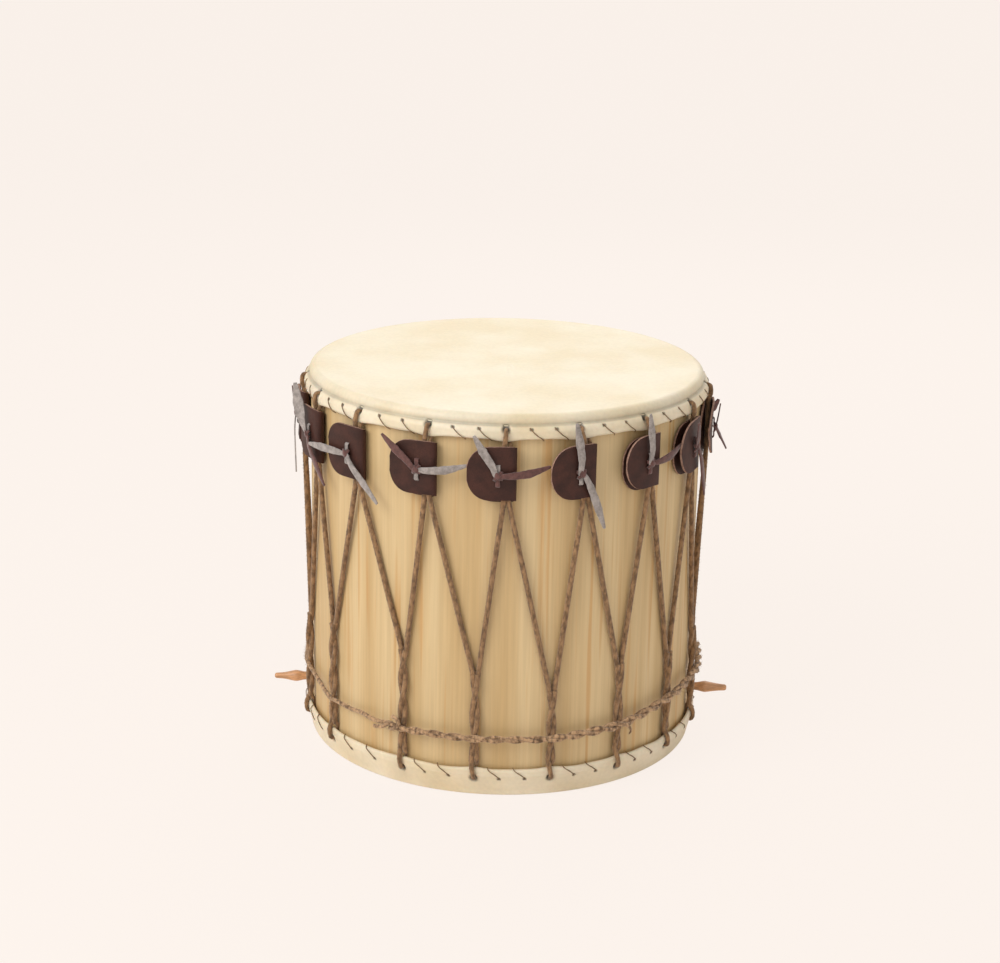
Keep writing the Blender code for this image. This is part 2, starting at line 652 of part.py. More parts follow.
def least_gap(points, radius):
    """The least gap between two turns of a cord, measured on points along it."""
    places, walked = [], 0.0
    for first, second in zip(points, points[1:]):
        length = (second - first).length
        count = max(1, round(length / radius))
        for i in range(count):
            places.append((walked + length * i / count, first.lerp(second, i / count)))
        walked += length
    return min((b - a).length for n, (at, a) in enumerate(places)
               for along, b in places[n + 1:] if along - at > 12 * radius) - 2 * radius


def make_waist_rope():
    points = waist_route()
    gap = least_gap(points, WAIST_RADIUS)
    print(f"waist_rope: least gap to itself {gap * 1000:.2f} mm")
    return tube("waist_rope", points, WAIST_RADIUS, PALE_JUTE)


def make_peg(name, azimuth):
    """A turned peg, from inside the shell out to its rounded end."""
    wall = SHELL_WALL
    profile = [(0, PEG_PROTRUSION), (PEG_END_RADIUS - 0.0008, PEG_PROTRUSION),
               (PEG_END_RADIUS, PEG_PROTRUSION - 0.001),
               (PEG_END_RADIUS + 0.0006, PEG_BULGE_REACH + 0.010),
               (PEG_BULGE_RADIUS, PEG_BULGE_REACH + 0.002),
               (PEG_BULGE_RADIUS, PEG_BULGE_REACH), (PEG_ROOT_RADIUS, PEG_BULGE_REACH - 0.008),
               (PEG_ROOT_RADIUS, CLEARANCE), (PEG_SHANK_RADIUS, CLEARANCE),
               (PEG_SHANK_RADIUS, -wall), (PEG_SHANK_RADIUS - 0.0006, -wall - PEG_INSIDE),
               (0, -wall - PEG_INSIDE)]
    peg = turned(name, profile, TURNED_WOOD, closed=False, steps=PEG_SIDES)
    peg.location = polar(azimuth, SHELL_RADIUS, PEG_HEIGHT)
    peg.rotation_euler = peg_turn(azimuth)
    return peg


make_shell()
make_skins()
make_flesh_hoop("upper_flesh_hoop", UPPER_HOOP_BOTTOM, UPPER_HOOP_TOP)
make_flesh_hoop("lower_flesh_hoop", LOWER_HOOP_BOTTOM, LOWER_HOOP_TOP)
make_tension_rope()
make_tugs_and_laces()
make_waist_rope()
for peg_name, peg_azimuth in PEG_AZIMUTHS.items():
    make_peg(peg_name, peg_azimuth)
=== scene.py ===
"""Dresses the medieval drum: hide, pine, jute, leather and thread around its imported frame."""
import math
import random

import bpy
from mathutils import Matrix, Vector, noise


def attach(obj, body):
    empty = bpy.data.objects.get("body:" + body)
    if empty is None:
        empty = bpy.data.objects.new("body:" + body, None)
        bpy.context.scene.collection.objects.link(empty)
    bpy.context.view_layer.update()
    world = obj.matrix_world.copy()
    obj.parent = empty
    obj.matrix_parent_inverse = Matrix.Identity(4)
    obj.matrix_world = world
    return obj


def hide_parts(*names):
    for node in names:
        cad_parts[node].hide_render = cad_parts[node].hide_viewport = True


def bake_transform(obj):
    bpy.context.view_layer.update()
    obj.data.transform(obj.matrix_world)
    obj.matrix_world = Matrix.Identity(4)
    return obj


bl_info = {
    "name": "Medieval Drum",
    "version": (1, 0, 0),
    "blender": (4, 5, 0),
    "location": "View3D > Sidebar > Drum",
    "description": "Models the visible pieces of a rope-tensioned drum",
    "category": "Object",
}

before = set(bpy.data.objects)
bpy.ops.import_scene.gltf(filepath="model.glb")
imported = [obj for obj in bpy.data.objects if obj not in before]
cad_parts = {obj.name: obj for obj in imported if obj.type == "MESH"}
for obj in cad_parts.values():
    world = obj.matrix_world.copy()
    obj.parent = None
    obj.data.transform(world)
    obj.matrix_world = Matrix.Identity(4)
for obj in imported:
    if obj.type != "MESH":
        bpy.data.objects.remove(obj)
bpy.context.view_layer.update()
bpy.ops.object.select_all(action="DESELECT")

# Azimuths are in degrees from the front, positive to the right. Lengths are metres.
TUGS = 17
UPPER_SEEN = (-64.7, -43.5, -21.0, 0.0, 20.0, 40.5, 62.0, 83.0)
LOWER_SEEN = (-56.0, -28.0, -7.0, 14.2, 34.8, 55.5, 76.0, 96.8)
JUNCTIONS_SEEN = (0.140, 0.140, 0.125, 0.108, 0.125, 0.118, 0.120, 0.125)
LEANS_SEEN = (0.0, -0.5, -0.3, 0.0, 1.5, 2.0, 1.0, 0.5)
BACK_JUNCTION = 0.125

# How many sides each turned skin has
HIDE_SIDES, SHELL_SIDES, PEG_SIDES = 1020, 256, 48

# Shell and hems
HEIGHT = 0.378
WALL, BORE = 0.1935, 0.1845
SHELL_BOTTOM, SHELL_TOP = 0.0016, 0.3764
UPPER_HOLE, LOWER_HOLE = 0.3656, 0.0190
UPPER_LIP, LOWER_LIP = 0.3560, 0.0286
ROPE_HOLE, NEEDLE_HOLE = 0.0034, 0.0017
# How dark the painted shade in the holes is
HOLE_SHADE = 0.75

# Ropes
LEG_REACH = 0.2000
WALL_REACH = 0.1961
LEFT_STRAND, RIGHT_STRAND = -0.0011, 0.0039
STRAND_HALF = 0.0024
HEM_MIDDLE, HEM_TURN = 0.19858, 0.0036
FIBRE_WIDTH, FIBRE_LENGTHS = 0.00016, (0.0012, 0.0042)
# Heights where a tug's loop and legs meet inside it, and where the legs part below it
LEGS_MEET, LEGS_PART = 0.3220, 0.2955
# The rope's reach in front of a hem's lip and behind it
HEM_FRONT, HEM_BACK = 0.2022, 0.1950
# Round a lip: degrees of the turn, the rope's width and its share of the way across
HEM_ROUND = ((0, 0.83, 0), (45, 0.82, 0), (90, 0.7, 0.1), (135, 0.56, 0.2), (180, 0.5, 0.3))
# The length of half a turn of a twisted pair
HALF_TURN = 0.036

# Tugs and laces
TUG_TOP, TUG_HEIGHT = 0.3510, 0.0510
BACK, FRONT, FOLD = 0.1963, 0.2037, 0.0056
FOLD_RADIUS, BACK_DROP, FLAP_SLOPE = 0.0037, 0.0040, 0.055
SLIT_MIDDLE, SLIT_HALF = 0.3235, 0.0105
LACE_ALONG, LACE_THICKNESS = -0.0062, 0.0013
# Along the wall: where each flap starts and how long it is, then its straight share
BACK_START, BACK_LENGTH = 0.009, 0.021
FRONT_START, FRONT_LENGTH, STRAIGHT = 0.002, 0.031, 0.30


def spread(seen):
    """The azimuths seen at the front, then the rest evenly round the back."""
    step = (seen[0] + 360 - seen[-1]) / (TUGS - len(seen) + 1)
    return list(seen) + [seen[-1] + step * (i + 1) for i in range(TUGS - len(seen))]


UPPER, LOWER = spread(UPPER_SEEN), spread(LOWER_SEEN)
LEANS = list(LEANS_SEEN) + [0.0] * (TUGS - len(LEANS_SEEN))
JUNCTIONS = list(JUNCTIONS_SEEN) + [BACK_JUNCTION] * (TUGS - len(JUNCTIONS_SEEN))
TUG_AT = [hole + lean for hole, lean in zip(UPPER, LEANS)]


def polar(azimuth, radius, z, along=0.0):
    """The point at an azimuth in degrees from the front, moved along the wall by a length."""
    angle = math.radians(azimuth) + along / WALL
    return Vector((radius * math.sin(angle), -radius * math.cos(angle), z))


def linear(code):
    """An sRGB hex colour as linear values."""
    parts = [int(code[i:i + 2], 16) / 255 for i in (0, 2, 4)]
    return [p / 12.92 if p <= 0.04045 else ((p + 0.055) / 1.055) ** 2.4 for p in parts]


def colour(name, words, code):
    """A colour that the panel shows."""
    return bpy.props.FloatVectorProperty(name=name, description=words, subtype="COLOR", size=3,
                                         min=0, max=1, default=linear(code))


def length(name, words, value):
    """A length that the panel shows."""
    return bpy.props.FloatProperty(name=name, description=words, default=value, min=0.0001,
                                   unit="LENGTH", precision=5)


class DrumSizes(bpy.types.PropertyGroup):
    """Sizes that the drum's maker would change."""
    rope: length("Rope radius", "Radius of the tension rope", 0.0027)
    lay: length("Rope lay", "Length of one turn of the rope's strands", 0.0110)
    waist: length("Waist rope radius", "Radius of the rope round the waist", 0.0020)
    leather: length("Leather", "Thickness of the tugs", 0.0020)
    lace: length("Lace", "Width of the lace tails", 0.0080)
    thread: length("Thread radius", "Radius of the hem's stitching thread", 0.00048)


class DrumColours(bpy.types.PropertyGroup):
    """Colours of the drum's finishes."""
    pine: colour("Pine", "Pale summer wood", "D4BA8C")
    pine_dark: colour("Pine grain", "Darker winter wood", "C4A573")
    pine_streak: colour("Pine streak", "Thin resinous streaks", "C49354")
    hide: colour("Hide", "Cream of the heads", "F0E3C8")
    hide_dark: colour("Hide shade", "Dirtier patches of the heads", "E8D6B2")
    rope: colour("Rope", "Dark jute", "A17C56")
    rope_dark: colour("Rope shade", "Jute between the fibres", "6B5035")
    waist: colour("Waist rope", "Pale jute", "C8A27A")
    leather: colour("Leather", "Dark brown grain side", "43241B")
    edge: colour("Cut edge", "Paler cut edge of the leather", "AD8876")
    suede: colour("Grey suede", "Rough grey laces", "A89E98")
    lace: colour("Brown lace", "Brown laces", "6B453F")
    thread: colour("Thread", "Waxed brown thread", "8A6C4C")
    peg: colour("Peg", "Turned and oiled pegs", "E0A878")
    floor: colour("Floor", "Floor and backdrop", "FCF3EC")


def sizes():
    """The sizes that the panel shows."""
    return bpy.context.scene.drum_sizes


def colours():
    """The colours that the panel shows."""
    return bpy.context.scene.drum_colours


def add(tree, kind, links=(), values=None, **settings):
    """A node: links are (input, source socket) pairs, and values go on its inputs."""
    made = tree.nodes.new(kind)
    for key, value in settings.items():
        setattr(made, key, value)
    for socket, value in (values or {}).items():
        made.inputs[socket].default_value = value
    for socket, source in links:
        tree.links.new(source, made.inputs[socket])
    return made


def finish(name, light, dark, roughness, stretch, fine, bump, depth=0.0004, extra=None,
           tones=(0.80, 1.08), accent=None, streaks=None):
    """A natural surface: broad patches from light to dark, a fine texture and its relief.

    stretch is how many patches there are to a metre along X, Y and Z, and fine the same for
    the small texture. accent is a third colour, in thin lines that streaks spaces.
    """
    made = bpy.data.materials.new(name)
    made.use_nodes = True
    tree = made.node_tree
    shader = tree.nodes["Principled BSDF"]
    place = add(tree, "ShaderNodeTexCoord").outputs["Object"]

    def patches(spacing, detail):
        spot = add(tree, "ShaderNodeMapping", [("Vector", place)], {"Scale": spacing})
        return add(tree, "ShaderNodeTexNoise", [("Vector", spot.outputs[0])],
                   {"Scale": 1, "Detail": detail}).outputs["Fac"]

    ramp = add(tree, "ShaderNodeValToRGB", [("Fac", patches(stretch, 5))])
    for stop, at, tint in zip(ramp.color_ramp.elements, (0.36, 0.62), (dark, light)):
        stop.position = at
        stop.color = (*tint, 1)
    base = ramp.outputs["Color"]
    if accent:
        lines = add(tree, "ShaderNodeMapRange", [("Value", patches(streaks, 2))],
                    {"From Min": 0.58, "From Max": 0.70, "To Max": 0.65})
        base = add(tree, "ShaderNodeMix", [("Factor", lines.outputs[0]), (6, base)],
                   {7: (*accent, 1)}, data_type="RGBA").outputs[2]
    grain = patches(fine, 3)
    tone = add(tree, "ShaderNodeMapRange", [("Value", grain)],
               {"From Min": 0.35, "From Max": 0.65, "To Min": tones[0], "To Max": tones[1]})
    # The grain's tone, less the painted shade that the shade attribute holds: creases, holes and
    # sides turned from the light come out darker.
    painted_shade = add(tree, "ShaderNodeAttribute", attribute_name="shade")
    wear_and_painted_shade = add(tree, "ShaderNodeMath", [(0, tone.outputs[0]), (1, painted_shade.outputs["Fac"])],
               operation="SUBTRACT")
    tinted = add(tree, "ShaderNodeVectorMath", [(0, base), (1, wear_and_painted_shade.outputs[0])],
                 operation="MULTIPLY")
    relief = add(tree, "ShaderNodeBump", [("Height", grain)], {"Strength": bump, "Distance": depth})
    tree.links.new(tinted.outputs[0], shader.inputs["Base Color"])
    tree.links.new(relief.outputs[0], shader.inputs["Normal"])
    for key, value in {"Roughness": roughness, **(extra or {})}.items():
        shader.inputs[key].default_value = value
    return made


def pine():
    """Pine board bent to a shell: long upright streaks of winter wood, planed and waxed."""
    c = colours()
    return finish("waxed_pine", c.pine, c.pine_dark, 0.50, (38, 38, 1.3), (420, 420, 9), 0.25,
                  tones=(0.94, 1.03), accent=c.pine_streak, streaks=(150, 150, 4))


def rawhide():
    """Scraped goat hide: dry, cream, faintly mottled and a little see-through."""
    c = colours()
    return finish("scraped_rawhide", c.hide, c.hide_dark, 0.48, (11, 11, 16), (260, 260, 260),
                  0.12, extra={"Subsurface Weight": 0.08, "Subsurface Scale": 0.004},
                  tones=(0.965, 1.015))


def jute(name, light):
    """Laid jute: hairy, matt, dark between its fibres."""
    return finish(name, light, colours().rope_dark, 0.92, (300, 300, 160), (1300, 1300, 500),
                  0.9, 0.0006, {"Sheen Weight": 0.25})


def leather():
    """Vegetable tanned cowhide, dark grain side, slightly waxed."""
    c = colours()
    return finish("dark_cowhide", c.leather, [v * 0.6 for v in c.leather], 0.56,
                  (90, 90, 90), (900, 900, 900), 0.5, extra={"Specular IOR Level": 0.3})


def cut_edge():
    """The raw cut edge of the same hide, paler and fibrous."""
    c = colours()
    return finish("cut_hide_edge", c.edge, [v * 0.55 for v in c.edge], 0.85, (500, 500, 500),
                  (1500, 1500, 900), 0.6)


def suede(name, light):
    """Split suede lace: rough and soft, lighter on its worn ridges."""
    return finish(name, light, [v * 0.6 for v in light], 0.9, (220, 220, 220),
                  (1400, 1400, 1400), 0.7, extra={"Sheen Weight": 0.3})


def turned_wood():
    """Oiled fruitwood from the lathe: fine grain along the peg and tool rings round it."""
    c = colours()
    return finish("turned_fruitwood", c.peg, [v * 0.66 for v in c.peg], 0.38,
                  (30, 160, 160), (160, 900, 900), 0.25)


def thread():
    """Waxed linen thread, brown with handling."""
    c = colours()
    return finish("waxed_thread", c.thread, [v * 0.6 for v in c.thread], 0.7, (400, 400, 400),
                  (2500, 2500, 2500), 0.4)


def mesh_piece(name, verts, faces, finishes, shades=None):
    """A new smooth piece in the scene, with a shade attribute that darkens it where shade is painted
    on it.
    """
    mesh = bpy.data.meshes.new(name)
    mesh.from_pydata([tuple(v) for v in verts], [], faces)
    attribute = mesh.attributes.new("shade", "FLOAT", "POINT")
    attribute.data.foreach_set("value", shades or [0.0] * len(verts))
    made = bpy.data.objects.new(name, mesh)
    bpy.context.scene.collection.objects.link(made)
    for each in finishes:
        mesh.materials.append(each)
    mesh.shade_smooth()
    return made


def apply_all(piece):
    """Applies a piece's modifiers in their order."""
    bpy.context.view_layer.objects.active = piece
    for modifier in list(piece.modifiers):
        bpy.ops.object.modifier_apply(modifier=modifier.name)


def declare(piece, body, slot, *nodes):
    """Says which body a piece rides and the nodes that it replaces; its slot is not used."""
    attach(piece, body)
    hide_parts(*nodes)


def smooth_path(points, step):
    """Points at an even step along a Catmull-Rom curve through (place, width) pairs."""
    places = [points[0]] + list(points) + [points[-1]]
    path = []
    for a, b, c, d in zip(places, places[1:], places[2:], places[3:]):
        count = max(1, round((c[0] - b[0]).length / step))
        for i in range(count):
            t = i / count
            weights = ((-t + 2 * t * t - t ** 3) / 2, (2 - 5 * t * t + 3 * t ** 3) / 2,
                       (t + 4 * t * t - 3 * t ** 3) / 2, (t ** 3 - t * t) / 2)
            at = sum((w * p[0] for w, p in zip(weights, (a, b, c, d))), Vector())
            path.append((at, b[1] + (c[1] - b[1]) * t))
    return path + [points[-1]]


def loose_fibre(middle, on_skin, ahead, chance):
    """One spike that stands out of a rope, as its three root corners and its tip."""
    out = (on_skin - middle).normalized()
    lean = (out * chance.uniform(0.4, 1.0) + ahead * chance.uniform(-1, 1)).normalized()
    across = lean.cross(ahead + out * 0.3).normalized() * FIBRE_WIDTH
    root = on_skin - out * 0.0004
    return (root + across, root - across, root + lean.cross(across),
            root + lean * chance.uniform(*FIBRE_LENGTHS))


def rope_mesh(routes, radius, lay, step=0.0016, sides=12, lobes=3, groove=0.17, seed=1,
              hairs=0):
    """Verts and faces of laid ropes along routes, each of lobes wound round each other.

    hairs is how many loose fibres stand out of each metre.
    """
    verts, faces = [], []
    chance = random.Random(seed)
    for route in routes:
        path = smooth_path(route, step)
        rings, first = len(path), len(verts)
        side, walked = None, 0.0
        for i, (at, scale) in enumerate(path):
            ahead = (path[min(i + 1, rings - 1)][0] - path[max(i - 1, 0)][0]).normalized()
            if side is None:
                side = ahead.orthogonal().normalized()
            side = (side - ahead * side.dot(ahead)).normalized()
            up = ahead.cross(side)
            walked += (at - path[i - 1][0]).length if i else 0
            turn = 2 * math.pi * walked / lay
            for j in range(sides):
                angle = 2 * math.pi * j / sides
                lobe = abs(math.cos(lobes / 2 * (angle - turn)))
                fuzz = 0.05 * noise.noise(Vector((walked * 900, j * 1.7, seed)))
                reach = radius * scale * (1 - groove + groove * lobe + fuzz)
                verts.append(at + side * (reach * math.cos(angle)) + up * (reach * math.sin(angle)))
        loose = []
        for _ in range(int(hairs * walked)):
            i = chance.randrange(1, rings - 1)
            on_skin = verts[first + i * sides + chance.randrange(sides)]
            ahead = (path[i + 1][0] - path[i][0]).normalized()
            loose.append(loose_fibre(path[i][0], on_skin, ahead, chance))
        for i in range(rings - 1):
            a, b = first + i * sides, first + (i + 1) * sides
            for j in range(sides):
                k = (j + 1) % sides
                faces.append((a + j, a + k, b + k, b + j))
        faces.append(tuple(first + j for j in reversed(range(sides))))
        faces.append(tuple(first + (rings - 1) * sides + j for j in range(sides)))
        for spike in loose:
            n = len(verts)
            verts += spike
            faces += [(n, n + 1, n + 2), (n, n + 3, n + 1)]
            faces += [(n + 1, n + 3, n + 2), (n + 2, n + 3, n)]
    return verts, faces


def turned(name, rows, count, finishes, shaped=None):
    """A skin turned round Z through rows of (radius, z, part). A radius of 0 is a pole.

    shaped gives a place's own radius, height and shade from its azimuth, radius, z and part.
    """
    verts, shades, faces, starts = [], [], [], []
    for radius, z, part in rows:
        starts.append(len(verts))
        for j in range(count if radius else 1):
            azimuth = 360 * j / count
            own = (radius, z, 0)
            if shaped and radius:
                own = shaped(azimuth, radius, z, part)
            verts.append(polar(azimuth, own[0], own[1]))
            shades.append(own[2])
    for n, (a, b) in enumerate(zip(starts, starts[1:])):
        for j in range(count):
            k = (j + 1) % count
            if not rows[n][0]:
                faces.append((a, b + j, b + k))
            elif not rows[n + 1][0]:
                faces.append((a + j, b, a + k))
            else:
                faces.append((a + j, b + j, b + k, a + k))
    return mesh_piece(name, verts, faces, finishes, shades)


def arc(x, z, radius, start, end, steps, part):
    """The rows of a round stretch of a profile, between two angles in degrees."""
    angles = [math.radians(start + (end - start) * i / steps) for i in range(steps + 1)]
    return [(x + radius * math.cos(a), z + radius * math.sin(a), part) for a in angles]


def stitch_holes(holes):
    """The azimuths of the two needle holes between each two rope holes."""
    return [hole + ((holes[(n + 1) % TUGS] - hole) % 360) * share / 3
            for n, hole in enumerate(holes) for share in (1, 2)]


def nearest(azimuth, holes):
    """Degrees from an azimuth to the nearest hole."""
    return min(abs((azimuth - hole + 180) % 360 - 180) for hole in holes)


def beside(azimuth, holes):
    """Metres along the wall from an azimuth to the nearest hole."""
    return nearest(azimuth, holes) * math.radians(1) * WALL


def uneven(azimuth, across, offset=0):
    """Slow unevenness round the drum, from -1 to 1."""
    angle = math.radians(azimuth)
    return noise.noise(Vector((math.sin(angle) * 9, across, math.cos(angle) * 9 + offset)))


class DRUM_OT_shell(bpy.types.Operator):
    """Models the pine shell as a turned tube"""
    bl_idname = "drum.shell"
    bl_label = "Pine shell"

    def execute(self, context):
        edge, foot = 0.0055, 0.0012
        rows = [(BORE, SHELL_TOP, "wall")]
        rows += arc(WALL - edge, SHELL_TOP - edge, edge, 90, 0, 6, "wall")
        rows += [(WALL, 0.36 - 0.33 * i / 12, "wall") for i in range(13)]
        rows += arc(WALL - foot, SHELL_BOTTOM + foot, foot, 0, -90, 3, "wall")
        rows += [(BORE, SHELL_BOTTOM, "wall"), rows[0]]
        shell = turned("pine_shell", rows, SHELL_SIDES, [pine()])
        seam = shell.modifiers.new("seam", "WELD")
        seam.merge_threshold = 0.00001
        apply_all(shell)
        declare(shell, "root", "pine", "shell")
        return {"FINISHED"}


# Each hem's rope holes, needle holes, and the heights of both
UPPER_HEM = (UPPER, stitch_holes(UPPER), UPPER_HOLE, UPPER_HOLE - 0.0002)
LOWER_HEM = (LOWER, stitch_holes(LOWER), LOWER_HOLE, LOWER_HOLE)


def pierced(azimuth, radius, z, shade, hem):
    """A hem's radius and shade, pressed in and darkened by painted shade in the holes where threads
    and ropes go through.
    """
    holes, needles, hole_z, needle_z = hem
    # Painted shade: it fills each needle hole and deepens towards the middle of each rope hole.
    if math.hypot(beside(azimuth, needles), z - needle_z) < NEEDLE_HOLE:
        radius, shade = radius - 0.0008, HOLE_SHADE
    near = math.hypot(beside(azimuth, holes), z - hole_z) / ROPE_HOLE
    depth = min(1, max(0, (1.25 - near) / 0.5))
    if radius > WALL + 0.002:
        radius -= 0.0030 * depth
    return radius, shade + HOLE_SHADE * depth


def scallop(azimuth, holes):
    """How much a hem's lip gives way at the ropes, from 0 between them to 1."""
    return math.exp(-(beside(azimuth, holes) / 0.012) ** 2)


def upper_shape(azimuth, radius, z, part):
    """The upper head: nearly flat, with painted shade down its rim, in its crease and on its uneven
    hem.
    """
    ripple = uneven(azimuth, radius * 20)
    if part == "head":
        return radius, z - 0.0006 * (1 - radius / WALL) + 0.00025 * ripple, 0
    if part == "rim":
        # Painted shade that deepens down the rim as it turns from the light above, a little uneven.
        return radius, z, 0.04 + 0.18 * min(1, (HEIGHT - z) / 0.0070) + 0.06 * ripple
    # Painted shade: dark in the crease under the rim, light and uneven on the hem, its lip and
    # inside.
    shade = 0.34 + 0.10 * ripple if part == "crease" else 0.09 + 0.08 * max(0, ripple)
    if part in ("hem", "lip"):
        radius += 0.0004 * ripple
    if part == "lip":
        z -= 0.0022 * scallop(azimuth, UPPER) - 0.0006 * ripple
    if part in ("hem", "crease"):
        radius, shade = pierced(azimuth, radius, z, shade, UPPER_HEM)
    return radius, z, shade


def lower_shape(azimuth, radius, z, part):
    """The lower head: a smooth side under even painted shade, with an uneven hem at its top."""
    ripple = uneven(azimuth, z * 40, 5)
    # Painted shade over all of the lower head, whose sides turn away from the light above, a little
    # uneven.
    shade = 0.12 + 0.06 * ripple
    if part in ("hem", "lip"):
        radius, shade = pierced(azimuth, radius + 0.0004 * ripple, z, shade, LOWER_HEM)
    if part == "lip":
        z += 0.0016 * scallop(azimuth, LOWER) - 0.0006 * ripple
    return radius, z, shade


def upper_rows():
    """The upper head's profile, from its middle over the rim and hem and back inside."""
    rim = 0.0068
    rows = [(0, 0.3774, "head")] + [(0.188 * i / 24, HEIGHT, "head") for i in range(1, 25)]
    rows += arc(0.1882, HEIGHT - rim, rim, 84, 0, 8, "rim")
    rows += [(0.1949, 0.3698, "crease"), (0.1948, 0.3688, "crease"), (0.1962, 0.3680, "crease")]
    rows += [(0.1978, 0.3672, "hem"), (0.1988, 0.3660, "hem"), (0.1993, 0.3648, "hem")]
    rows += [(0.1998, 0.3636 - 0.0011 * i, "hem") for i in range(6)]
    rows += [(0.1995, 0.3572, "lip"), (0.1988, 0.3562, "lip"), (0.1976, UPPER_LIP, "lip"),
             (0.1966, 0.3566, "lip")]
    rows += [(0.1945, 0.3680, "in"), (0.1938, 0.3700, "in"), (0.1930, 0.3748, "in"),
             (0.188, 0.3770, "in"), (0, 0.3764, "in")]
    return rows


def lower_rows():
    """The lower head's profile, from inside over the hem and down to its middle."""
    rows = [(0, 0.0016, "in"), (0.186, 0.0016, "in"), (0.1936, 0.0022, "in"),
            (0.1950, 0.0160, "in")]
    rows += [(0.1966, 0.0278, "lip"), (0.1974, LOWER_LIP, "lip"), (0.1986, 0.0284, "lip"),
             (0.1996, 0.0274, "lip")]
    rows += [(0.1999, 0.0262 - 0.0012 * i, "hem") for i in range(5)]
    rows += [(0.1996 - 0.00032 * i, 0.0206 - 0.0012 * i, "hem") for i in range(12)]
    rows += [(0.1952, 0.0052, "hem"), (0.1949, 0.0026, "base")]
    rows += arc(0.1924, 0.0025, 0.0025, -20, -90, 4, "base")
    return rows + [(0.1, 0, "base"), (0, 0, "base")]


class DRUM_OT_heads(bpy.types.Operator):
    """Models both hide heads with their rolled, scalloped hems and rope holes"""
    bl_idname = "drum.heads"
    bl_label = "Hide heads"

    def execute(self, context):
        hide = rawhide()
        upper = turned("upper_head_hide", upper_rows(), HIDE_SIDES, [hide], upper_shape)
        declare(upper, "root", "rawhide", "upper_skin", "upper_flesh_hoop")
        lower = turned("lower_head_hide", lower_rows(), HIDE_SIDES, [hide], lower_shape)
        declare(lower, "root", "rawhide", "lower_skin", "lower_flesh_hoop")
        return {"FINISHED"}


def over_hem(azimuth, z, lip, from_along, to_along):
    """The rope over the front of a hem, in at its hole and out behind it, with widths."""
    way = 1 if z > lip else -1
    turn_z = z - way * HEM_TURN
    places = [(polar(azimuth, HEM_FRONT, lip, from_along / 2), 0.9)]
    for angle, width, share in HEM_ROUND:
        a = math.radians(angle)
        places.append((polar(azimuth, HEM_MIDDLE + HEM_TURN * math.cos(a),
                             turn_z + way * HEM_TURN * math.sin(a), to_along * share), width))
    places.append((polar(azimuth, HEM_BACK, lip - way * 0.0012, to_along * 0.8), 0.5))
    return places


def over_upper_hem(i):
    """A loop from a tug up over the upper hem, in at its hole and down again behind it."""
    at, lean = TUG_AT[i], math.radians(LEANS[i]) * WALL

    def leg(radius, z, strand, width=1):
        return polar(at, radius, z, strand), width

    hem = over_hem(UPPER[i], UPPER_HOLE, UPPER_LIP, lean + LEFT_STRAND, lean + RIGHT_STRAND)
    return [leg(LEG_REACH, LEGS_MEET, LEFT_STRAND), leg(LEG_REACH, 0.3380, LEFT_STRAND),
            leg(LEG_REACH + 0.0004, 0.3500, LEFT_STRAND, 0.98), *hem,
            leg(0.19855, 0.3518, RIGHT_STRAND, 0.7), leg(LEG_REACH, 0.3475, RIGHT_STRAND, 0.93),
            leg(LEG_REACH, 0.3360, RIGHT_STRAND), leg(LEG_REACH, LEGS_MEET, RIGHT_STRAND)]


def legs_below(i):
    """The two legs of a tug, each down to the pair that it joins."""
    at, routes = TUG_AT[i], []
    for pair, strand, side in (((i - 1) % TUGS, LEFT_STRAND, STRAND_HALF),
                               (i, RIGHT_STRAND, -STRAND_HALF)):
        junction = JUNCTIONS[pair]
        top = polar(at, LEG_REACH, LEGS_PART, strand)
        foot = polar(LOWER[pair], WALL_REACH + 0.0006, junction, side)
        places = [polar(at, LEG_REACH, LEGS_MEET, strand), polar(at, LEG_REACH, 0.3090, strand), top,
                  top.lerp(foot, 0.35), top.lerp(foot, 0.7), foot,
                  polar(LOWER[pair], WALL_REACH + 0.0012, junction - 0.006, side * 0.9)]
        routes.append([(place, 1) for place in places])
    return routes


def twisted_pair(i):
    """Two strands wound round each other from their junction down to the lower hem's loop."""
    at, junction = LOWER[i], JUNCTIONS[i]
    drop = junction - LOWER_LIP - 0.010
    half_turns = max(1, round(drop / HALF_TURN))
    strands = []
    for start in (math.pi, 0):
        run = []
        for n in range(9):
            share = n / 8
            angle = math.pi * (half_turns * share) + start
            reach = WALL_REACH + 0.0022 + 0.0018 * math.sin(angle) * min(1, 6 * share)
            run.append((polar(at, reach, junction - drop * share, STRAND_HALF * math.cos(angle)), 1))
        strands.append(run)
    if half_turns % 2:
        strands.reverse()
    down, up = strands
    loop = over_hem(at, LOWER_HOLE, LOWER_LIP, -STRAND_HALF, STRAND_HALF)
    return (down + [(polar(at, 0.1995, LOWER_LIP + 0.006, -0.0020), 1)] + loop
            + [(polar(at, 0.1958, LOWER_LIP + 0.005, STRAND_HALF), 0.8)] + list(reversed(up)))


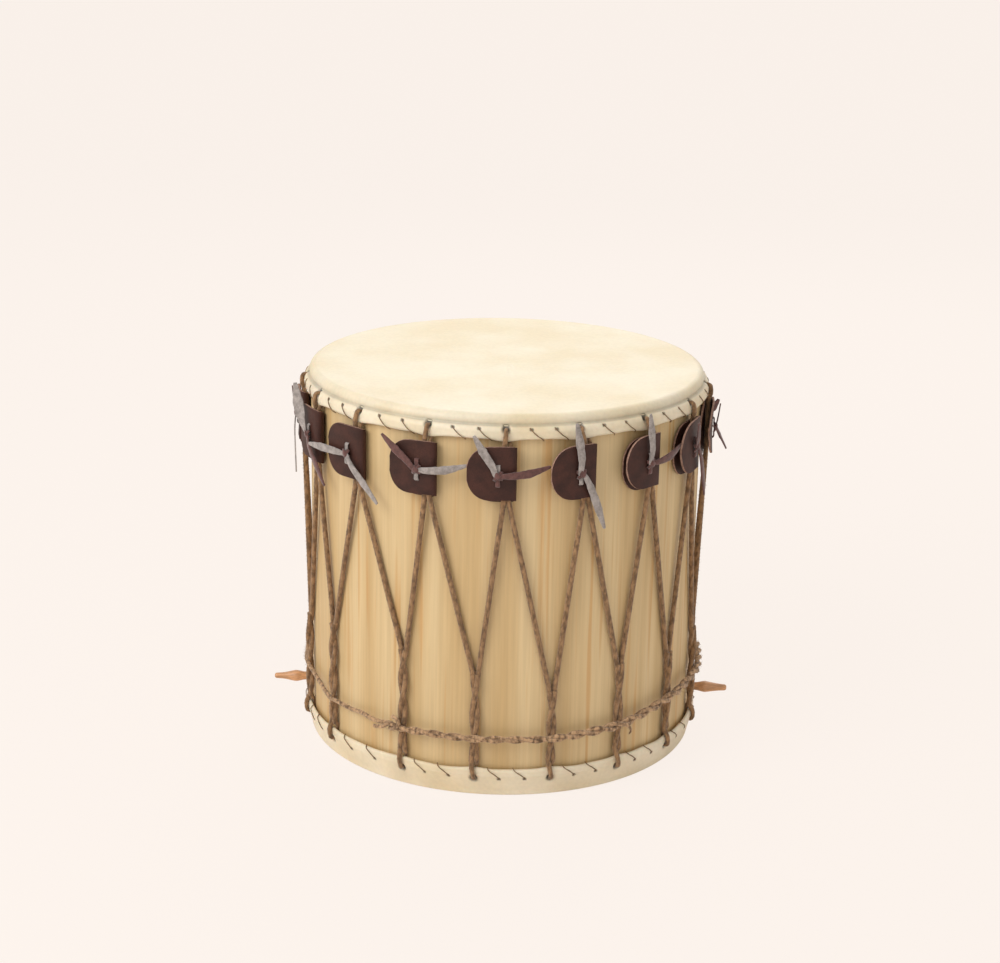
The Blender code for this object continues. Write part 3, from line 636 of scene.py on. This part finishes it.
class DRUM_OT_rope(bpy.types.Operator):
    """Models the tension rope: loops over both hems, legs through the tugs, twisted pairs"""
    bl_idname = "drum.rope"
    bl_label = "Tension rope"

    def execute(self, context):
        look = jute("dark_laid_jute", colours().rope)
        radius, lay = sizes().rope, sizes().lay
        for i, at in enumerate(TUG_AT):
            number = f"{i + 1:02d}"
            for name, routes, seed, hairs, start, end in (
                    ("over_hem", [over_upper_hem(i)], i, 350, 0.3560, 0.3440),
                    ("legs", legs_below(i), i + 40, 450, 0.1450, 0.3000)):
                rope = rope_mesh(routes, radius, lay, seed=seed, hairs=hairs)
                piece = mesh_piece(f"rope_{name}_{number}", *rope, [look])
                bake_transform(piece)
                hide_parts("tension_rope")
            pair = rope_mesh([twisted_pair(i)], radius, lay, seed=i + 80, hairs=350)
            piece = mesh_piece(f"rope_pair_{number}", *pair, [look])
            declare(piece, "root", "dark_jute", "tension_rope")
        return {"FINISHED"}


def flap_height(share):
    """The part of a tug's full height that a flap has, at a share of the way to its end."""
    return math.sqrt(max(0.04, 1 - (share * 0.97) ** 2.4))


def tug_section(lift):
    """The folded leather seen from above, from the back flap round the fold to the front one.

    Each place has its way along the wall, its radius, its share of the full height and its
    share of the back's drop. lift is how far the front flap stands out at its end.
    """
    section = []
    for n in range(13):
        share = 1 - n / 12
        section.append((-(BACK_START + BACK_LENGTH * share), BACK, flap_height(share), 1))
    section += [(-0.004, BACK, 1, 1), (0.001, BACK, 1, 1)]
    for n in range(9):
        a = math.radians(-90 + 22.5 * n)
        section.append((FOLD + FOLD_RADIUS * math.cos(a), LEG_REACH + FOLD_RADIUS * math.sin(a),
                        1, 1 - n / 8))
    for n in range(17):
        share = n / 16
        along = -FRONT_START - FRONT_LENGTH * share
        bow = 0.0006 * math.sin(math.pi * share)
        section.append((along, FRONT + FLAP_SLOPE * (FOLD - along) + lift * share + bow,
                        flap_height(max(0, (share - STRAIGHT) / (1 - STRAIGHT))), 0))
    return section


def tug_mesh(at, lift, skew, rows=15):
    """Verts and faces of a tug's leather, one layer thick."""
    section, verts, faces = tug_section(lift), [], []
    for along, radius, height, drop in section:
        for r in range(rows):
            up = r / (rows - 1) * 2 - 1
            z = TUG_TOP - TUG_HEIGHT / 2 - BACK_DROP * drop + up * height * TUG_HEIGHT / 2
            z += skew * along * (1 - drop)
            curl = 0.0010 * up * up if drop == 0 else 0
            verts.append(polar(at, radius + curl, z, along))
    for c in range(len(section) - 1):
        for r in range(rows - 1):
            a = c * rows + r
            faces.append((a, a + 1, a + rows + 1, a + rows))
    return verts, faces


class DRUM_OT_tugs(bpy.types.Operator):
    """Models the folded leather tugs with rounded flaps and paler cut edges"""
    bl_idname = "drum.tugs"
    bl_label = "Leather tugs"

    def execute(self, context):
        finishes = [leather(), cut_edge()]
        for i, at in enumerate(TUG_AT):
            chance = random.Random(100 + i)
            lift, skew = chance.uniform(-0.0006, 0.0008), chance.uniform(-0.03, 0.03)
            tug = mesh_piece(f"leather_tug_{i + 1:02d}", *tug_mesh(at, lift, skew), finishes)
            hide = tug.modifiers.new("leather", "SOLIDIFY")
            hide.thickness, hide.offset, hide.material_offset_rim = sizes().leather, 0, 1
            wear_and_painted_shade = tug.modifiers.new("wear_and_painted_shade", "BEVEL")
            wear_and_painted_shade.width, wear_and_painted_shade.segments, wear_and_painted_shade.angle_limit = 0.00035, 2, math.radians(50)
            apply_all(tug)
            bpy.ops.object.select_all(action="DESELECT")
            tug.select_set(True)
            bpy.ops.object.mode_set(mode="EDIT")
            bpy.ops.mesh.select_all(action="SELECT")
            bpy.ops.mesh.normals_make_consistent(inside=False)
            bpy.ops.object.mode_set(mode="OBJECT")
            tug.select_set(False)
            declare(tug, f"tug_{i + 1:02d}_body", "tug_leather", f"tug_{i + 1:02d}")
        return {"FINISHED"}


# Lace tails from the knot: degrees to the right, metres up, metres out
UP_LEFT = ((-3.2, 0.010, 0.0036), (-5.6, 0.024, 0.0045), (-7.8, 0.039, 0.0060))
TO_RIGHT = ((1.6, 0.001, 0.0024), (6.2, 0.003, 0.0008), (11.6, 0.008, -0.0026))
TO_LEFT = ((-5.0, 0.000, 0.0034), (-11.0, -0.001, 0.0050), (-18.0, -0.004, 0.0058))
DOWN_RIGHT = ((0.9, -0.010, 0.0028), (5.2, -0.024, 0.0024), (9.6, -0.040, 0.0020))
BLADE_LEFT = ((-4.0, 0.008, 0.0036), (-7.4, 0.018, 0.0042), (-11.2, 0.030, 0.0050))
STRAIGHT_UP = ((-2.2, 0.014, 0.0036), (-3.0, 0.032, 0.0045), (-4.0, 0.050, 0.0058))
LONG_DOWN = ((0.4, -0.012, 0.0028), (2.6, -0.032, 0.0024), (4.8, -0.054, 0.0022))
RISING_LEFT = ((-3.0, 0.012, 0.0050), (-4.6, 0.030, 0.0070), (-5.8, 0.048, 0.0085))
SHORT_UP = ((-2.6, 0.010, 0.0040), (-3.8, 0.026, 0.0060))
OUT_AND_UP = ((-1.6, -0.003, 0.0040), (-2.0, -0.001, 0.0090), (-2.4, 0.008, 0.0140))
OUT_AND_DOWN = ((0.2, -0.010, 0.0060), (0.8, -0.024, 0.0130))
GREY, BROWN = 0, 1
# Each tug's two tails, the first nine tugs as seen and the others in turn
TAILS = ((GREY, RISING_LEFT, BROWN, DOWN_RIGHT), (GREY, TO_LEFT, GREY, DOWN_RIGHT),
         (BROWN, BLADE_LEFT, GREY, TO_RIGHT), (GREY, UP_LEFT, BROWN, TO_RIGHT),
         (GREY, STRAIGHT_UP, GREY, LONG_DOWN), (GREY, STRAIGHT_UP, BROWN, TO_RIGHT),
         (BROWN, SHORT_UP, BROWN, LONG_DOWN), (BROWN, SHORT_UP, BROWN, OUT_AND_DOWN),
         (BROWN, OUT_AND_UP, BROWN, OUT_AND_DOWN))
BEHIND = ((GREY, UP_LEFT, BROWN, DOWN_RIGHT), (BROWN, SHORT_UP, GREY, LONG_DOWN),
          (GREY, BLADE_LEFT, GREY, DOWN_RIGHT))
# Tugs at the drum's sides: degrees that the first tail is turned, and how much wider it is
TURNED = {0: (42, 1.5), 8: (-62, 1.3)}
# A lace's section: shares of half its width and of half its thickness
LACE_EDGE = ((-1, -0.5), (-0.8, -1), (0.8, -1), (1, -0.5), (1, 0.5), (0.8, 1), (-0.8, 1), (-1, 0.5))
# The knot's two turns: metres out, up and along, and the lace's width
KNOT_TURNS = (((0.0002, 0.0020, -0.0042, 0.0032), (0.0026, 0.0024, -0.0014, 0.0044),
               (0.0028, -0.0006, 0.0012, 0.0044), (0.0002, -0.0026, 0.0040, 0.0032)),
              ((0, -0.0040, -0.0030, 0.0030), (0.0018, -0.0016, -0.0016, 0.0038),
               (0.0020, 0.0018, 0.0018, 0.0038), (0, 0.0044, 0.0030, 0.0030)))


def ribbon(route, turned_by=0, step=0.0015):
    """Verts and faces of a flat lace along (place, width) pairs.

    It faces outwards from the axis, and its free end is turned about Z by some degrees.
    """
    path, sides = smooth_path(route, step), len(LACE_EDGE)
    verts, faces, last = [], [], None
    for i, (at, width) in enumerate(path):
        ahead = (path[min(i + 1, len(path) - 1)][0] - path[max(i - 1, 0)][0]).normalized()
        out = Vector((at.x, at.y, 0)).normalized()
        free = min(1, max(0, (i / len(path) - 0.25) / 0.3))
        out.rotate(Matrix.Rotation(math.radians(turned_by * free), 3, "Z"))
        across = ahead.cross(out)
        if across.length > 0.2:
            across.normalize()
        else:
            across = last or Vector((-out.y, out.x, 0))
        if last and across.dot(last) < 0:
            across = -across
        last = across
        face = across.cross(ahead).normalized()
        wide = width * (1 + 0.12 * noise.noise(at * 300))
        for u, v in LACE_EDGE:
            cup = 0.12 * wide * (1 - u * u)
            verts.append(at + across * (u * wide / 2) + face * (v * LACE_THICKNESS / 2 + cup))
    for i in range(len(path) - 1):
        for j in range(sides):
            k = (j + 1) % sides
            faces.append(tuple(i * sides + n for n in (j, k, sides + k, sides + j)))
    faces.append(tuple(reversed(range(sides))))
    faces.append(tuple((len(path) - 1) * sides + j for j in range(sides)))
    return verts, faces


def lace_parts(at, up, down, wider):
    """The lace's two ends, each from its slit to its tail's tip, and the knot's two turns."""
    face = FRONT + FLAP_SLOPE * (FOLD - LACE_ALONG) + 0.0025

    def tie(out, rise, shift, width):
        return polar(at, face + out, SLIT_MIDDLE + rise, LACE_ALONG + shift), width

    def tail(places, wide):
        widths = (wide * 0.8, wide, wide * 0.3)[-len(places):]
        return [(polar(at + turn, face + out, SLIT_MIDDLE + rise), width)
                for (turn, rise, out), width in zip(places, widths)]

    parts = []
    for side, places, wide in ((1, up, sizes().lace * wider), (-1, down, sizes().lace)):
        parts.append([tie(-0.0040, side * SLIT_HALF, 0, 0.0040),
                      tie(0, side * (SLIT_HALF - 0.0012), 0, 0.0042),
                      tie(0.0002, side * 0.0040, 0, 0.0040),
                      tie(0.0016, 0, side * -0.0016, 0.0036)] + tail(places, wide))
    return parts + [[tie(*place) for place in turn] for turn in KNOT_TURNS]


class DRUM_OT_laces(bpy.types.Operator):
    """Models the suede laces that tie the tugs shut, with their knots and pointed tails"""
    bl_idname = "drum.laces"
    bl_label = "Laces"

    def execute(self, context):
        looks = [suede("grey_split_suede", colours().suede),
                 suede("brown_split_suede", colours().lace)]
        for i, at in enumerate(TUG_AT):
            first, up, second, down = TAILS[i] if i < len(TAILS) else BEHIND[i % len(BEHIND)]
            turned_by, wider = TURNED.get(i, (0, 1))
            verts, faces, hues = [], [], []
            for part, hue, turn in zip(lace_parts(at, up, down, wider),
                                       (first, second, BROWN, BROWN), (turned_by, 0, 0, 0)):
                places, sides = ribbon(part, turn)
                hues += [hue] * len(sides)
                faces += [tuple(n + len(verts) for n in each) for each in sides]
                verts += places
            piece = mesh_piece(f"tied_lace_{i + 1:02d}", verts, faces, looks)
            piece.data.polygons.foreach_set("material_index", hues)
            slot = "brown_lace" if first == BROWN else "grey_suede"
            declare(piece, f"tug_{i + 1:02d}_body", slot, f"lace_{i + 1:02d}")
        return {"FINISHED"}


def whip_stitch(at, z, lip, way):
    """A thread between its needle hole and the hem's lip, slanting down to the right."""
    return [(polar(at - 0.4, 0.1972, z + way * 0.0012), 1),
            (polar(at, 0.1995, z - way * 0.0006), 1),
            (polar(at + way * 1.4, 0.2008, (z + lip) / 2 - way * 0.0005), 1),
            (polar(at + way * 2.8, 0.2006, lip + way * 0.0008), 1),
            (polar(at + way * 3.4, 0.1975, lip - way * 0.0016), 1)]


class DRUM_OT_stitching(bpy.types.Operator):
    """Models the whip stitches that roll each hem round its hoop"""
    bl_idname = "drum.stitching"
    bl_label = "Hem stitching"

    def execute(self, context):
        look = thread()
        for name, holes, z, lip, way in (("upper", UPPER, UPPER_HOLE, UPPER_LIP, 1),
                                         ("lower", LOWER, LOWER_HOLE, LOWER_LIP, -1)):
            verts, faces = [], []
            for n, at in enumerate(stitch_holes(holes)):
                places, sides = rope_mesh([whip_stitch(at, z, lip, way)], sizes().thread, 0.003,
                                          step=0.0012, sides=6, lobes=2, groove=0.1, seed=n // 2)
                faces += [tuple(m + len(verts) for m in each) for each in sides]
                verts += places
            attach(mesh_piece(f"{name}_hem_stitching", verts, faces, [look]), "root")
        return {"FINISHED"}


# The waist rope's heights by azimuth, as seen in front and even behind
WAIST_SEEN = ((-180, 0.072), (-97, 0.073), (-76, 0.0745), (-56, 0.0625), (-28, 0.0620), (-7, 0.0620),
              (14.2, 0.0615), (34.8, 0.0645), (55.5, 0.0740), (76, 0.0760), (97, 0.0740),
              (140, 0.0725), (180, 0.072))
WAIST_LAY = 0.2018
# Degrees: where the knot is, how far past it the rope is doubled, and one turn of its twist
KNOT_AT, DOUBLED, TWIST = -28, 129, 11.0
# Degrees past the knot: where the second round begins and joins the first, and over how many
# the first leaves it again
SECOND_ROUND, JOINS, LEAVES_OVER = 300, 335, 30
# Azimuths between which the twist is looser, and over how many degrees it becomes so
LOOSE_FROM, LOOSE_TO, LOOSE_OVER = 12, 150, 15
# Azimuths, radii and heights
WAIST_KNOT = ((-31.5, 0.2016, 0.0580), (-29.6, 0.2056, 0.0605), (-28.0, 0.2066, 0.0655),
              (-28.6, 0.2050, 0.0700), (-30.6, 0.2024, 0.0710))
WAIST_TAIL = ((-36, 0.2058, 0.0575), (-33, 0.2066, 0.0600), (-30.4, 0.2064, 0.0650))
FRAYED_END = ((33.4, 0.2050, 0.0655), (36.2, 0.2068, 0.0630), (37.6, 0.2070, 0.0575),
              (37.2, 0.2062, 0.0530))


def waist_height(azimuth):
    """The waist rope's height: low at the front, higher at the sides."""
    azimuth = (azimuth + 180) % 360 - 180
    for (a, low), (b, high) in zip(WAIST_SEEN, WAIST_SEEN[1:]):
        if a <= azimuth <= b:
            return low + (high - low) * (azimuth - a) / (b - a)


def waist_route(half):
    """From the tail at the knot once round over every pair, then again across the front.

    Where it is doubled, its two lays wind round each other, looser at the right. half is how
    far a lay stands off the middle between both.
    """
    route = [(polar(*place), 1) for place in WAIST_TAIL]
    for gone in range(2, 360 + DOUBLED, 2):
        at = KNOT_AT + gone
        again = gone > SECOND_ROUND
        doubled = gone < DOUBLED or gone > 360
        wound = (DOUBLED + LEAVES_OVER - gone) / LEAVES_OVER
        if again:
            wound = (gone - JOINS) / (360 - JOINS)
        wound = min(1, max(0, wound))
        phase = 2 * math.pi * (gone % 360) / TWIST + (math.pi if again else 0)
        sink = 0.0026 * min(1, nearest(at, LOWER) / 8) * (0.5 if doubled else 1)
        loose = 1
        if doubled and at % 360 < LOOSE_TO:
            loose += 0.5 * min(1, max(0, (at % 360 - LOOSE_FROM) / LOOSE_OVER))
        reach = WAIST_LAY - sink + (0.0024 + half * math.sin(phase)) * wound
        z = waist_height(at) + half * loose * math.cos(phase) * wound
        route.append((polar(at, reach, z), 0.9 + 0.15 * loose))
    end = KNOT_AT + DOUBLED + 2
    route.append((polar(end, WAIST_LAY, waist_height(end) - half), 1))
    return route


class DRUM_OT_waist_rope(bpy.types.Operator):
    """Models the pale rope tied round the waist, doubled across the front"""
    bl_idname = "drum.waist_rope"
    bl_label = "Waist rope"

    def execute(self, context):
        radius = sizes().waist
        knot = [(polar(*place), 1) for place in WAIST_KNOT]
        frayed = [(polar(*place), width) for place, width in zip(FRAYED_END, (0.8, 0.8, 0.6, 0.35))]
        rope = rope_mesh([waist_route(radius - 0.0003), knot, frayed], radius, 0.008, step=0.0013,
                         groove=0.2, seed=7, hairs=1300)
        piece = mesh_piece("waist_rope_tied", *rope, [jute("pale_laid_jute", colours().waist)])
        declare(piece, "root", "pale_jute", "waist_rope")
        return {"FINISHED"}


# Each peg: its name, its azimuth and the radius of its handle's tip
PEGS = (("left_peg", -88.0, 0.0029), ("right_peg", 86.0, 0.0033))
PEG_HEIGHT = 0.041


def peg_rows(end):
    """A peg's profile from the tip of its handle to its end inside the shell."""
    places = [(0, 0.0400), (end * 0.6, 0.0398), (end * 0.93, 0.0388), (end, 0.0372),
              (end + 0.0002, 0.0320), (end + 0.0010, 0.0270), (0.0050, 0.0225), (0.0057, 0.0190),
              (0.0058, 0.0170), (0.0054, 0.0148), (0.0046, 0.0118), (0.0041, 0.0090),
              (0.0039, 0.0050), (0.0040, 0.0003), (0.0036, 0.0003), (0.0036, -0.0090),
              (0.0030, -0.0150), (0, -0.0150)]
    return [(radius, along, "wood") for radius, along in places]


class DRUM_OT_pegs(bpy.types.Operator):
    """Models the two turned pegs that stand in the shell"""
    bl_idname = "drum.pegs"
    bl_label = "Turned pegs"

    def execute(self, context):
        look = turned_wood()
        for name, azimuth, end in PEGS:
            peg = turned("turned_" + name, peg_rows(end), PEG_SIDES, [look])
            outwards = Matrix.Rotation(math.radians(azimuth), 4, "Z")
            place = Matrix.Translation(polar(azimuth, WALL, PEG_HEIGHT)) @ outwards
            peg.data.transform(place @ Matrix.Rotation(math.radians(90), 4, "X"))
            fine = peg.modifiers.new("lathe", "SUBSURF")
            fine.levels = fine.render_levels = 1
            apply_all(peg)
            declare(peg, name + "_body", "turned_wood", name)
        return {"FINISHED"}


# Lamps: name, place, size in metres and power in watts
LAMPS = (("key", (-1.5, -1.3, 1.7), 1.3, 30), ("fill", (1.8, -1.6, 1.0), 2.0, 2),
         ("rim", (0.4, 1.9, 1.6), 1.6, 12))
# The camera, fitted to the drum's two ends: millimetres, then degrees, then metres
LENS, SENSOR = 77.08, 36
TILT, ROLL = 17.54, 1.155
DISTANCE, AIM = 2.1578, (-0.0046, 0, 0.2534)


def studio_paper(pale):
    """Seamless backdrop paper, a little brighter to the camera than its light makes it."""
    made = bpy.data.materials.new("studio_paper")
    made.use_nodes = True
    tree = made.node_tree
    shader = tree.nodes["Principled BSDF"]
    shader.inputs["Base Color"].default_value = pale
    shader.inputs["Roughness"].default_value = 0.9
    glow = add(tree, "ShaderNodeEmission", values={"Color": pale, "Strength": 1})
    rays = add(tree, "ShaderNodeLightPath")
    share = add(tree, "ShaderNodeMath", [(0, rays.outputs["Is Camera Ray"])], {1: 0.92},
                operation="MULTIPLY")
    both = add(tree, "ShaderNodeMixShader", [(0, share.outputs[0]), (1, shader.outputs[0]),
                                             (2, glow.outputs[0])])
    tree.links.new(both.outputs[0], tree.nodes["Material Output"].inputs[0])
    return made


def studio_world(pale):
    """Soft light from all round, seen and mirrored as the pale backdrop."""
    made = bpy.data.worlds.new("studio")
    made.use_nodes = True
    tree = made.node_tree
    plain = tree.nodes["Background"]
    plain.inputs["Color"].default_value = (1, 0.985, 0.97, 1)
    plain.inputs["Strength"].default_value = 0.68
    seen = add(tree, "ShaderNodeBackground", values={"Color": pale, "Strength": 1})
    rays = add(tree, "ShaderNodeLightPath")
    either = add(tree, "ShaderNodeMath", [(0, rays.outputs["Is Camera Ray"]),
                                          (1, rays.outputs["Is Glossy Ray"])],
                 operation="MAXIMUM")
    both = add(tree, "ShaderNodeMixShader", [(0, either.outputs[0]), (1, plain.outputs[0]),
                                             (2, seen.outputs[0])])
    tree.links.new(both.outputs[0], tree.nodes["World Output"].inputs[0])
    return made


class DRUM_OT_stage(bpy.types.Operator):
    """Adds the floor, soft studio light and the camera"""
    bl_idname = "drum.stage"
    bl_label = "Stage"

    def execute(self, context):
        scene = context.scene
        scene.view_settings.view_transform = "Standard"
        pale = (*colours().floor, 1)
        bpy.ops.mesh.primitive_plane_add(size=40, location=(0, 0, -0.0005))
        floor = context.object
        floor.name = "studio_floor"
        floor.data.materials.append(studio_paper(pale))
        scene.world = studio_world(pale)
        for name, place, size, power in LAMPS:
            lamp = bpy.data.lights.new(name, "AREA")
            lamp.size, lamp.energy = size, power
            made = bpy.data.objects.new(name, lamp)
            made.location = place
            towards = Vector((0, 0, 0.2)) - made.location
            made.rotation_euler = towards.to_track_quat("-Z", "Y").to_euler()
            scene.collection.objects.link(made)
        self.camera(scene)
        return {"FINISHED"}

    def camera(self, scene):
        """The photograph's camera: level, tilted down to the aim, then rolled."""
        lens = bpy.data.cameras.new("camera")
        lens.lens, lens.sensor_width = LENS, SENSOR
        camera = bpy.data.objects.new("camera", lens)
        scene.collection.objects.link(camera)
        tilt, aim = math.radians(TILT), Vector(AIM)
        roll = Matrix.Rotation(math.radians(ROLL), 4, "Z")
        place = aim + DISTANCE * Vector((0, -math.cos(tilt), math.sin(tilt)))
        look = (aim - place).to_track_quat("-Z", "Y").to_matrix().to_4x4()
        camera.matrix_world = Matrix.Translation(place) @ look @ roll
        scene.camera = camera


OPERATORS = (DRUM_OT_stage, DRUM_OT_shell, DRUM_OT_heads, DRUM_OT_rope, DRUM_OT_tugs, DRUM_OT_laces,
             DRUM_OT_stitching, DRUM_OT_waist_rope, DRUM_OT_pegs)


class DRUM_PT_panel(bpy.types.Panel):
    """Lists the drum's pieces"""
    bl_label = "Drum"
    bl_idname = "DRUM_PT_panel"
    bl_space_type = "VIEW_3D"
    bl_region_type = "UI"
    bl_category = "Drum"

    def draw(self, context):
        for group in (context.scene.drum_sizes, context.scene.drum_colours):
            for key in group.__annotations__:
                self.layout.prop(group, key)
        for each in OPERATORS:
            self.layout.operator(each.bl_idname)


CLASSES = (DrumSizes, DrumColours) + OPERATORS + (DRUM_PT_panel,)


def register():
    """Adds the drum's classes and settings to Blender."""
    for each in CLASSES:
        bpy.utils.register_class(each)
    bpy.types.Scene.drum_sizes = bpy.props.PointerProperty(type=DrumSizes)
    bpy.types.Scene.drum_colours = bpy.props.PointerProperty(type=DrumColours)


def unregister():
    """Takes them out again."""
    del bpy.types.Scene.drum_colours
    del bpy.types.Scene.drum_sizes
    for each in reversed(CLASSES):
        bpy.utils.unregister_class(each)


def main():
    """Builds the stage and every piece of the drum."""
    register()
    bpy.ops.drum.stage()
    bpy.ops.drum.shell()
    bpy.ops.drum.heads()
    bpy.ops.drum.rope()
    bpy.ops.drum.tugs()
    bpy.ops.drum.laces()
    bpy.ops.drum.stitching()
    bpy.ops.drum.waist_rope()
    bpy.ops.drum.pegs()


if __name__ == "__main__":
    main()
